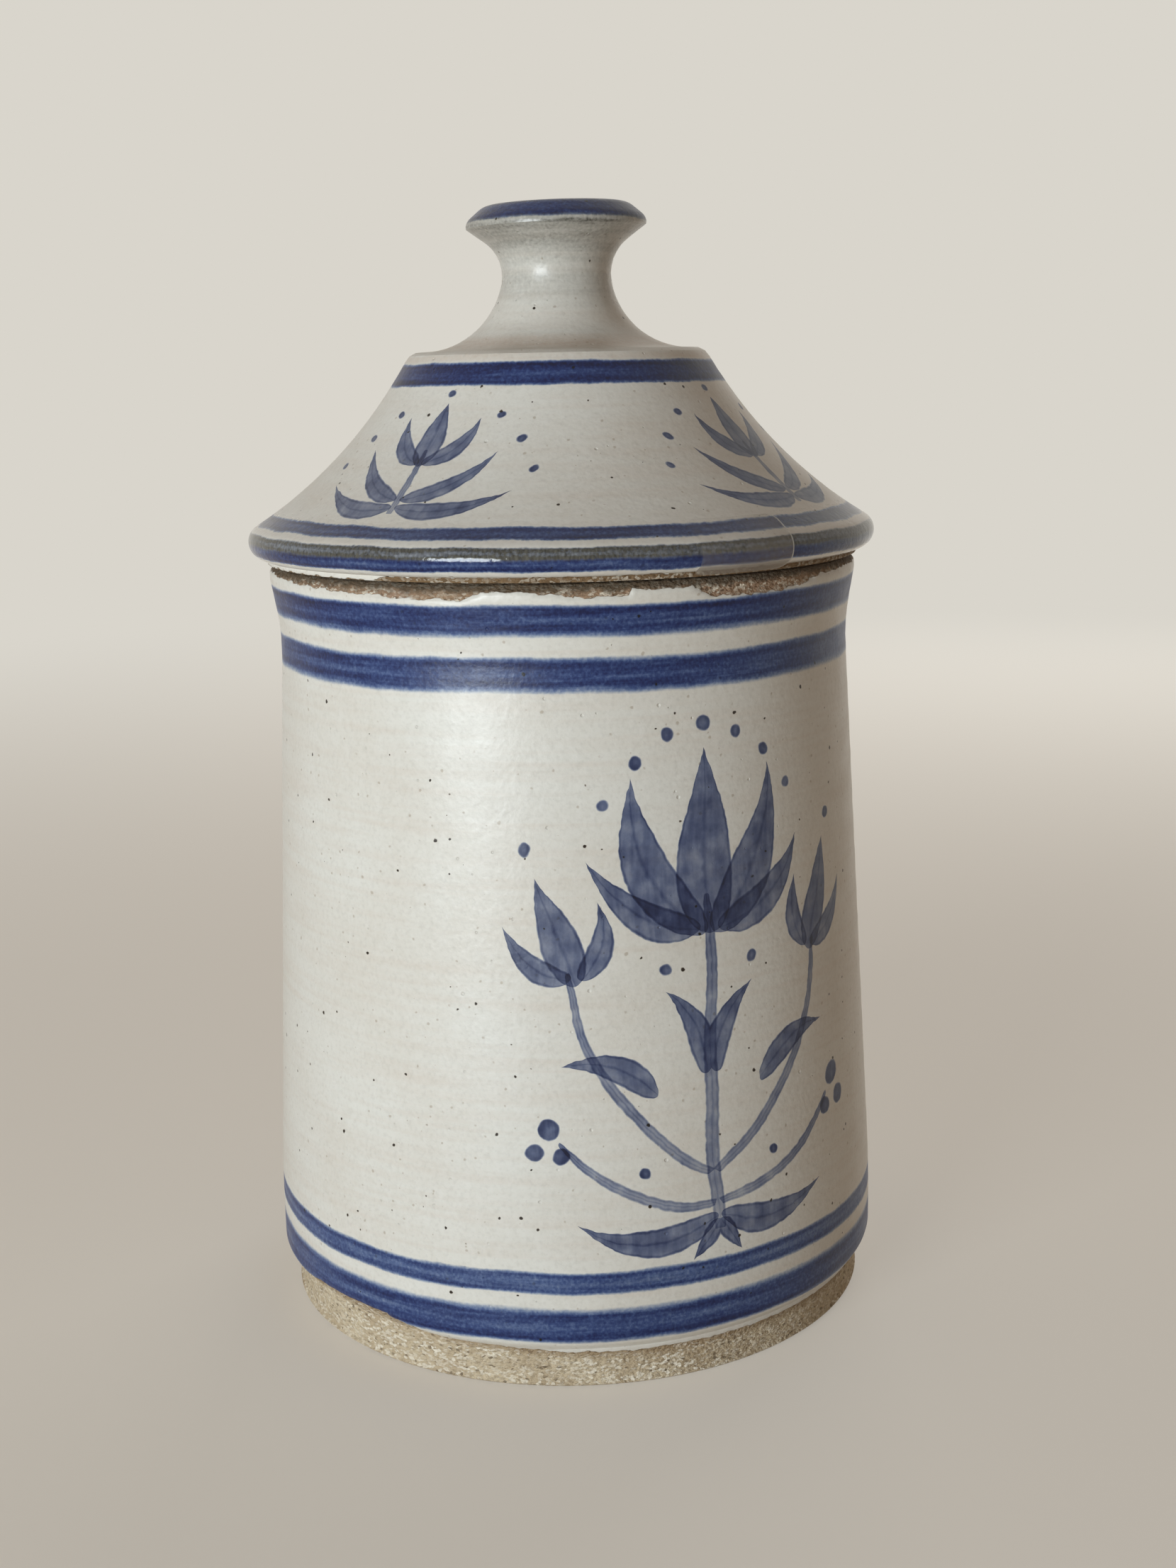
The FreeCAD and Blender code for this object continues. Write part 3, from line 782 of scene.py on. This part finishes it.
POSY_PETALS = (
    ((0, 12), 90, 17, 6.5, 0), ((0.6, 12.5), 56, 15, 5, -2.5), ((0.6, 3), 40, 20, 4.6, -2.5),
    ((0.5, 1), 12, 23, 4.6, -2.5),
)
POSY_DOTS = (((19.5, 19), 1.0), ((25, 11), 0.9), ((13, 25.5), 0.9), ((0, 31.5), 0.9))


def lid_paint(tree, place):
    """Bands round the cone, bead and knob, and four posies round the cone."""
    spot = unrolled(tree, place, POSY_BEARING, 4, POSY_FOOT, CONE_RISE)
    posies = painted(tree, place, spot, POSY_STEMS, POSY_PETALS, POSY_DOTS)
    inks = [banded(tree, place, bands, LID_BAND_WANDER) for bands in (LID_BANDS, WORN_AND_SHADE_BANDS, THIN_BANDS)]
    inks.insert(1, posies)
    return outside_only(tree, place, inks, *LID_SKIN)


def lid_fired(tree, place):
    """The lid's bare edge and flange fired a warmer brown than the foot."""
    return LID_CLAY, LID_GRIME, LID_TOAST


def lid_gloss(tree, place):
    """The bead and the knob are handled most and shine most."""
    height = add(tree, "SeparateXYZ", {0: place}, "Z")
    cone = add(tree, "MapRange", {0: height, 1: 172.0, 2: 178.0, 3: BEAD_SATIN, 4: CONE_SATIN})
    knob = add(tree, "MapRange", {0: height, 1: 204.0, 2: 218.0, 3: 0.0, 4: KNOB_POLISH})
    satin = add(tree, "Math", {0: cone, 1: knob}, operation="ADD")
    uneven = patches(tree, place, GLOSS_PATCH, -SATIN_VARIES, SATIN_VARIES)
    return add(tree, "Math", {0: uneven, 1: satin}, operation="ADD")


lid.data.materials.append(stoneware("cream_glazed_stoneware_lid", lid_paint, lid_fired, lid_gloss))
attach(lid, "lid")
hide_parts("lid")


# The tape: a short strip of clear film pressed over the lid's bead by hand, once to hold the lid shut.
# It follows the bead from the cone, then bridges to the lid's lowest edge, where it hangs free and milky.
# The real film is thinner than it is made here, and its adhesive fills the gap beneath it.

FILM = 0.1
ADHESIVE = 0.2
FILM_ROUNDING = 2.2
ACROSS_STEPS = 96
ALONG_STEPS = 44
BRIDGE_TOP = 167.0
FILM_FOOT = 165.45
FILM_TONE = colour("#b8afa3")
FILM_GLINT = colour("#e4e1da")
FILM_ROUGHNESS = 0.3
MILK = 0.04
LIFTED_MILK = 0.05
LOOSENED_MILK = 0.07
HANGING_MILK = 0.28
CUT_EDGE = (0.34, 0.16)
CUT_EDGE_GLINT = (0.03, 0.5)

cad_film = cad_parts["clear_tape"].data
spots = np.array([vertex.co for vertex in cad_film.vertices]) / MM
bearings = np.arctan2(spots[:, 0], -spots[:, 1])
film_bearing = (bearings.min() + bearings.max()) / 2
film_half = np.abs(spots @ (math.cos(film_bearing), math.sin(film_bearing), 0)).max()
film_top = spots[:, 2].max()

outer_rows = lid_rows[lid_rows[:, 0] > BEAD_FROM]
skin = outer_rows[(outer_rows[:, 1] > FILM_FOOT) & (outer_rows[:, 1] < film_top + BEAD_ROWS)]
skin = np.vstack([skin[:1], skin[skin[:, 1] > BRIDGE_TOP]])
ways = np.gradient(skin, axis=0)
ways /= np.hypot(*ways.T)[:, None]
skin += (ADHESIVE + FILM / 2) * np.column_stack([ways[:, 1], -ways[:, 0]])
run = np.concatenate([[0], np.cumsum(np.hypot(*np.diff(skin, axis=0).T))])

bpy.ops.object.select_all(action="DESELECT")
bpy.ops.mesh.primitive_grid_add(x_subdivisions=ACROSS_STEPS, y_subdivisions=ALONG_STEPS, size=2)
tape = bpy.context.object
tape.name = "clear_film"
spots = np.array([vertex.co for vertex in tape.data.vertices])
along = (spots[:, 1] + 1) / 2 * run[-1]
from_end = np.minimum(along, run[-1] - along)
drawn_in = np.clip(FILM_ROUNDING - from_end, 0, None)
half = film_half - FILM_ROUNDING + np.sqrt(FILM_ROUNDING**2 - drawn_in**2)
across = spots[:, 0] * half
from_edge = np.minimum(from_end, half - np.abs(across))
radius = np.interp(along, run, skin[:, 0])
height = np.interp(along, run, skin[:, 1])
reshape(tape, radius, height, np.degrees(film_bearing + np.arcsin(across / radius)))
measured(tape, "from_edge_mm", from_edge)
measured(tape, "right_share", spots[:, 0] / 2 + 0.5)
pick(tape)
bpy.ops.object.mode_set(mode="EDIT")
bpy.ops.mesh.select_all(action="SELECT")
bpy.ops.mesh.normals_make_consistent(inside=False)
bpy.ops.object.mode_set(mode="OBJECT")
body = tape.modifiers.new("body", "SOLIDIFY")
body.thickness = FILM * MM
body.offset = 0.0
bpy.ops.object.modifier_apply(modifier=body.name)
bpy.ops.object.shade_smooth_by_angle(angle=CORNER)


def clear_film():
    """Clear adhesive tape gone slightly milky: thin and smooth, so it gives a soft glint and little colour.

    Its cut edge catches the light. That line is too fine to show at its real width, so it is drawn
    0.3 mm wide.
    """
    material = bpy.data.materials.new("clear_adhesive_tape")
    material.use_nodes = True
    tree = material.node_tree
    place = add(tree, "TexCoord", output="Object")
    place = add(tree, "VectorMath", {0: place, "Scale": 1 / MM}, operation="SCALE")
    height = add(tree, "SeparateXYZ", {0: place}, "Z")
    right = add(tree, "Attribute", output="Fac", attribute_name="right_share")
    milk = patches(tree, place, 2.5, 0.0, MILK)
    lifted = add(tree, "MapRange", {0: height, 1: 172.6, 2: 170.6, 4: LIFTED_MILK})
    loosened = add(tree, "MapRange", {0: right, 1: 0.4, 2: 1.0, 4: LOOSENED_MILK})
    hanging = add(tree, "MapRange", {0: height, 1: 167.7, 2: 166.8, 4: HANGING_MILK})
    for more in (lifted, loosened, hanging):
        milk = add(tree, "Math", {0: milk, 1: more}, operation="ADD")
    from_edge = add(tree, "Attribute", output="Fac", attribute_name="from_edge_mm")
    glint = {0: right, 1: 0.7, 2: 0.98, 3: CUT_EDGE_GLINT[0], 4: CUT_EDGE_GLINT[1]}
    glint = add(tree, "MapRange", glint)
    line = add(tree, "MapRange", {0: from_edge, 1: CUT_EDGE[0], 2: CUT_EDGE[1]})
    line = add(tree, "Math", {0: line, 1: glint}, operation="MULTIPLY")
    tone = {0: line, 6: FILM_TONE, 7: FILM_GLINT}
    shader = tree.nodes["Principled BSDF"]
    tree.links.new(add(tree, "Mix", tone, 2, data_type="RGBA"), shader.inputs["Base Color"])
    veil = add(tree, "Math", {0: milk, 1: line}, operation="MAXIMUM")
    tree.links.new(veil, shader.inputs["Alpha"])
    shader.inputs["Roughness"].default_value = FILM_ROUGHNESS
    return material


tape.data.materials.append(clear_film())
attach(tape, "lid")
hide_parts("clear_tape")


# The stage: a wide pale floor that fades into an equally pale backdrop, as in a photographer's light tent.
# The camera and reflections see it evenly lit, and the jar's shadow still falls on it.

FLOOR_RADIUS = 4.0
FADE_STARTS = 0.2
FADE_ENDS = 1.3
GLOW_BY_THE_JAR = 0.45
BACKDROP = colour("#d9d5cc")
BOARD = colour("#e6ddcf")

bpy.ops.object.select_all(action="DESELECT")
bpy.ops.mesh.primitive_circle_add(vertices=96, radius=FLOOR_RADIUS, fill_type="NGON")
floor = bpy.context.object
floor.name = "stage_floor"


def pale_floor():
    """Matt painted board, which fades for the camera into the backdrop's even tone."""
    material = bpy.data.materials.new("pale_matt_board")
    material.use_nodes = True
    tree = material.node_tree
    place = add(tree, "TexCoord", output="Object")
    away = add(tree, "VectorMath", {0: place}, "Value", operation="LENGTH")
    fade = {0: away, 1: FADE_STARTS, 2: FADE_ENDS, 3: GLOW_BY_THE_JAR}
    fade = add(tree, "MapRange", fade, interpolation_type="SMOOTHSTEP")
    path = add(tree, "LightPath").node.outputs
    seen = add(tree, "Math", {0: path["Is Camera Ray"], 1: path["Is Glossy Ray"]}, operation="ADD")
    seen = add(tree, "Math", {0: seen, 1: path["Is Transmission Ray"]}, operation="MAXIMUM")
    share = add(tree, "Math", {0: fade, 1: seen}, operation="MULTIPLY")
    board = add(tree, "BsdfDiffuse", {"Color": BOARD})
    tone = add(tree, "Emission", {"Color": BACKDROP, "Strength": 1.0})
    shown = add(tree, "MixShader", {0: share, 1: board, 2: tone})
    tree.links.new(shown, tree.nodes["Material Output"].inputs["Surface"])
    return material


floor.data.materials.append(pale_floor())


# The light: a low soft window at the front left, slightly cool, in a dimmer and warmer room.
# A second soft lamp behind lights the far side only, and has no glint of its own.

AIM_HEIGHT = 0.12
LAMP_DISTANCE = 1.3
ROOM_IN_FRONT = colour("#5b4b3d")
ROOM_BEHIND = colour("#978571")


def soft_lamp(name, bearing, elevation, width, height, share, tint, glints=True):
    """A soft lamp that would make a white surface facing it as bright as that share of white."""
    bpy.ops.object.light_add(type="AREA")
    lamp = bpy.context.object
    lamp.name = name
    lamp.visible_camera = False
    lamp.visible_glossy = glints
    lamp.data.shape = "RECTANGLE"
    lamp.data.size = width
    lamp.data.size_y = height
    lamp.data.energy = share * math.pi**2 * LAMP_DISTANCE**2
    lamp.data.color = tint
    turn, rise = math.radians(bearing), math.radians(elevation)
    toward = Vector((math.sin(turn) * math.cos(rise), -math.cos(turn) * math.cos(rise), math.sin(rise)))
    lamp.location = Vector((0, 0, AIM_HEIGHT)) + LAMP_DISTANCE * toward
    lamp.rotation_euler = toward.to_track_quat("Z", "Y").to_euler()


soft_lamp(
    "window_light", bearing=-34.0, elevation=4.0, width=0.54, height=0.42, share=0.80, tint=(0.88, 0.96, 1.0),
)
soft_lamp(
    "far_side_light", bearing=158.0, elevation=12.0, width=0.9, height=0.6, share=0.48,
    tint=(0.96, 0.98, 1.0), glints=False,
)

world = bpy.data.worlds.new("pale_room")
bpy.context.scene.world = world
world.use_nodes = True
sky = world.node_tree
way = add(sky, "TexCoord", output="Generated")
behind = add(sky, "SeparateXYZ", {0: way}, "Y")
behind = add(sky, "MapRange", {0: behind, 1: -0.6, 2: 1.0})
room = add(sky, "Mix", {0: behind, 6: ROOM_IN_FRONT, 7: ROOM_BEHIND}, 2, data_type="RGBA")
path = add(sky, "LightPath").node.outputs
seen = add(sky, "Math", {0: path["Is Camera Ray"], 1: path["Is Glossy Ray"]}, operation="ADD")
seen = add(sky, "Math", {0: seen, 1: path["Is Transmission Ray"]}, operation="MAXIMUM")
room = add(sky, "Mix", {0: seen, 6: room, 7: BACKDROP}, 2, data_type="RGBA")
sky.links.new(room, sky.nodes["Background"].inputs["Color"])


# The camera stands where the photograph was taken from: low, close and tilted down, and a little off level.
# Its place, lens and angles come from fitting the jar's outline to the photograph's.

CAMERA_PLACE = (-0.0005, -0.4380, 0.2042)
CAMERA_DOWN = 11.782
CAMERA_TURN = -0.672
CAMERA_ROLL = -1.210
LENS = 45.56

bpy.ops.object.camera_add()
camera = bpy.context.object
camera.location = CAMERA_PLACE
camera.data.lens = LENS
camera.data.clip_start = 0.01
camera.rotation_euler = (
    Matrix.Rotation(math.radians(CAMERA_TURN), 3, "Z")
    @ Matrix.Rotation(math.radians(90 - CAMERA_DOWN), 3, "X")
    @ Matrix.Rotation(math.radians(CAMERA_ROLL), 3, "Z")
).to_euler()
bpy.context.scene.camera = camera

bpy.context.scene.view_settings.view_transform = "Standard"
